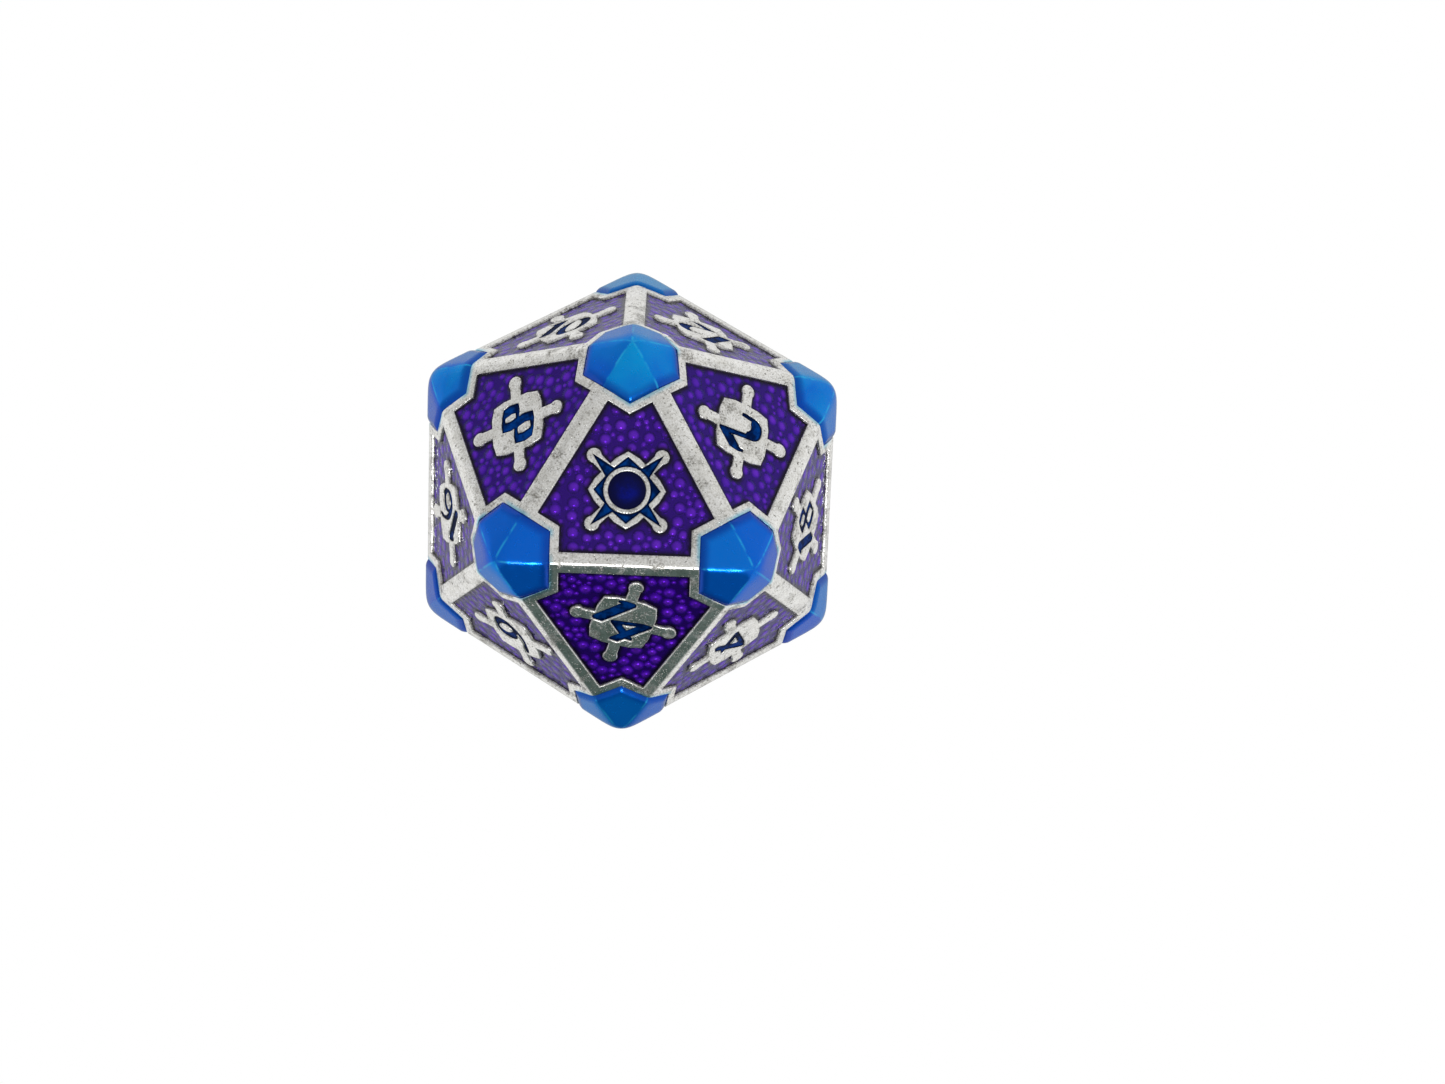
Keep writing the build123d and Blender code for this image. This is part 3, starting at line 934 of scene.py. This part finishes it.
def build_floor():
    mesh = bpy.data.meshes.new("floor")
    half = FLOOR_SIZE / 2
    corners = [(-half, -half, 0), (half, -half, 0), (half, half, 0), (-half, half, 0)]
    mesh.from_pydata(corners, [], [(0, 1, 2, 3)])
    mesh.materials.append(paper_material())
    floor = bpy.data.objects.new("floor", mesh)
    bpy.context.scene.collection.objects.link(floor)


def build_key_light():
    data = bpy.data.lights.new("key", "AREA")
    data.shape = "RECTANGLE"
    data.size, data.size_y = KEY_SIZE
    data.energy = KEY_POWER
    key = bpy.data.objects.new("key", data)
    key.location = KEY_PLACE
    key.rotation_euler = (-KEY_PLACE).to_track_quat("-Z", "Y").to_euler()
    bpy.context.scene.collection.objects.link(key)


def build_sky():
    """A soft surround, brighter on one side, with an unlit part that only the die shows."""
    world = bpy.data.worlds.new("studio")
    bpy.context.scene.world = world
    world.use_nodes = True
    tree = world.node_tree
    place = tree.nodes.new("ShaderNodeTexCoord")
    slope = add_node(tree, "ShaderNodeVectorMath", operation="DOT_PRODUCT")
    slope.inputs[1].default_value = (SKY_SLOPE, 0, 0)
    tree.links.new(place.outputs["Generated"], slope.inputs[0])
    level = add_node(tree, "ShaderNodeMath", operation="ADD")
    level.inputs[1].default_value = SKY_GLOW
    tree.links.new(slope.outputs["Value"], level.inputs[0])
    colour = glow_seen(tree, place.outputs["Generated"], level.outputs[0])
    tree.links.new(colour, tree.nodes["Background"].inputs["Color"])


def build_die():
    metal, purple, blue = metal_material(), panel_material(), cap_material()
    ink, gem = numeral_material(), gem_material()
    works = [FaceWork(node) for node in sorted(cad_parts) if node.startswith("panel_enamel")]
    build_casting(works, metal)
    for work in works:
        build_panel(work, purple)
        for node in work.cells:
            if node == "emblem_gem_inlay":
                build_cell(work, node, gem, gem_dome)
            else:
                build_cell(work, node, ink, meniscus)
    tones = np.random.default_rng(TONE_SEED).uniform(-1, 1, (len(CORNERS), len(TRIPLES)))
    for corner_id, facet_tones in enumerate(tones):
        build_cap(corner_id, facet_tones, blue)


bpy.context.scene.view_settings.view_transform = "Standard"
build_camera()
build_floor()
build_key_light()
build_sky()
build_die()
